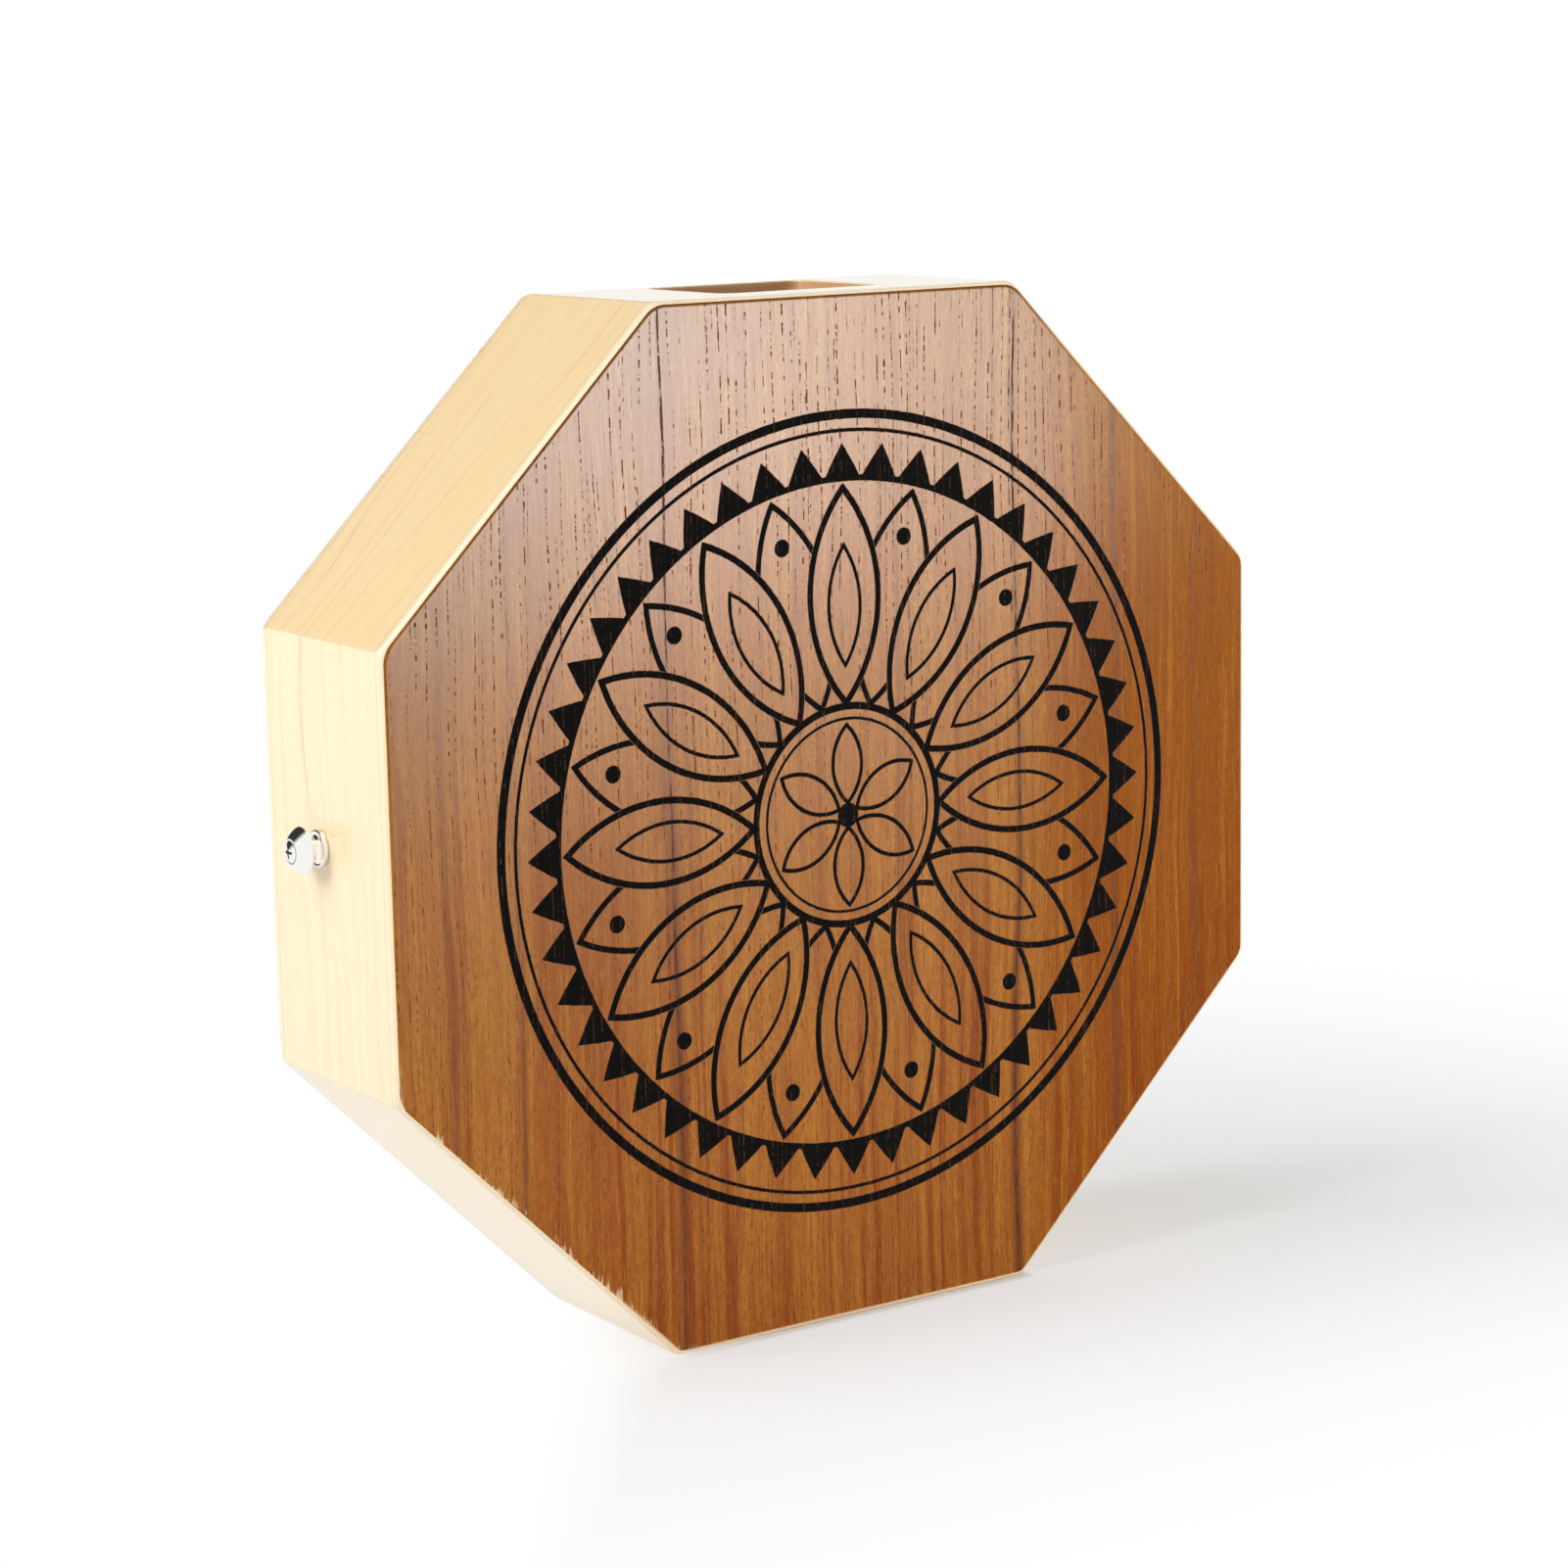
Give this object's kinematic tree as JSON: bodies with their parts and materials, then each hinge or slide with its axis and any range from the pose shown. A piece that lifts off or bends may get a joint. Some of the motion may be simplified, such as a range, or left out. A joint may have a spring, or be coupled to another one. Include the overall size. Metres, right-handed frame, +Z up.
{
  "type": "box drum",
  "caption": "Flat octagonal wooden box drum played by hand, with mitred sides, a veneered front plate, a sound port in the top panel and strap buttons on the sides.",
  "frame": {"origin": "on the floor under the middle of the bottom panel, half way between the front and back faces", "axes": "+Z up, +X to the right along the playing face, +Y from the playing face to the back"},
  "size_m": [0.352, 0.077, 0.33],
  "materials": {
    "maple": "pale straight-grained wood under satin lacquer",
    "ply_core": "pale plywood core, eased and lacquered edge",
    "face_veneer": "warm brown open-pored veneer with upright grain under satin lacquer",
    "softwood": "raw planed softwood",
    "chrome": "polished plating",
    "steel": "bright drawn wire and pressed sheet"
  },
  "bodies": {
    "root": {"panel_top": "maple", "panel_top_right": "maple", "panel_right": "maple", "panel_bottom_right": "maple", "panel_bottom": "maple", "panel_bottom_left": "maple", "panel_left": "maple", "panel_top_left": "maple", "front_plate": "ply_core", "front_veneer": "face_veneer", "back_plate": "maple", "corner_block_1": "softwood", "corner_block_2": "softwood", "corner_block_3": "softwood", "corner_block_4": "softwood", "corner_block_5": "softwood", "corner_block_6": "softwood", "corner_block_7": "softwood", "corner_block_8": "softwood", "side_block_left": "softwood", "side_block_right": "softwood", "snare_bar": "softwood", "snare_wires_left": "steel", "snare_wires_right": "steel", "snare_screw_left_1": "steel", "snare_screw_left_2": "steel", "snare_screw_right_1": "steel", "snare_screw_right_2": "steel", "strap_button_left": "chrome", "strap_button_right": "chrome", "strap_screw_left": "chrome", "strap_screw_right": "chrome"}
  },
  "joints": []
}
